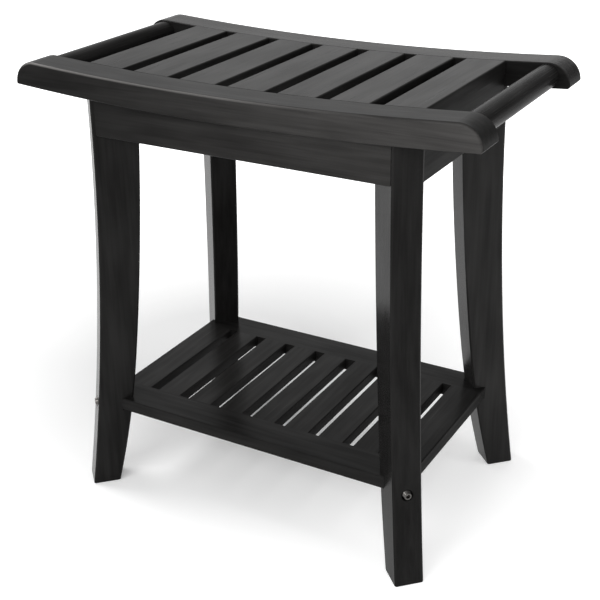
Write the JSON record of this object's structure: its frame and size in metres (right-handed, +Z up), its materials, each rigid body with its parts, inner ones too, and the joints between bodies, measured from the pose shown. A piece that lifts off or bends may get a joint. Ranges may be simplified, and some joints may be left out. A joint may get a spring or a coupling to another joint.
{
  "type": "slatted shower bench",
  "caption": "Slatted bamboo shower bench with a saddle-curved seat, round handle bars at both ends, flared diagonal legs and a low slatted shelf.",
  "frame": {"origin": "on the floor, under the middle of the seat", "axes": "+X along the seat to the right, +Y to the back, +Z up"},
  "size_m": [0.47, 0.2724, 0.4484],
  "materials": {
    "bamboo": "near-black brown stain under a satin lacquer, fine grain along each board",
    "bolt_steel": "bright zinc"
  },
  "bodies": {
    "root": {"front_rail": "bamboo", "back_rail": "bamboo", "seat_slat_1": "bamboo", "seat_slat_2": "bamboo", "seat_slat_3": "bamboo", "seat_slat_4": "bamboo", "seat_slat_5": "bamboo", "seat_slat_6": "bamboo", "seat_slat_7": "bamboo", "handle_bar_left": "bamboo", "handle_bar_right": "bamboo", "front_apron": "bamboo", "back_apron": "bamboo", "left_apron": "bamboo", "right_apron": "bamboo", "leg_front_left": "bamboo", "leg_front_right": "bamboo", "leg_back_left": "bamboo", "leg_back_right": "bamboo", "shelf_front_rail": "bamboo", "shelf_back_rail": "bamboo", "shelf_end_left": "bamboo", "shelf_end_right": "bamboo", "shelf_slat_1": "bamboo", "shelf_slat_2": "bamboo", "shelf_slat_3": "bamboo", "shelf_slat_4": "bamboo", "shelf_slat_5": "bamboo", "shelf_slat_6": "bamboo", "shelf_slat_7": "bamboo", "shelf_bolts": "bolt_steel"}
  },
  "joints": []
}
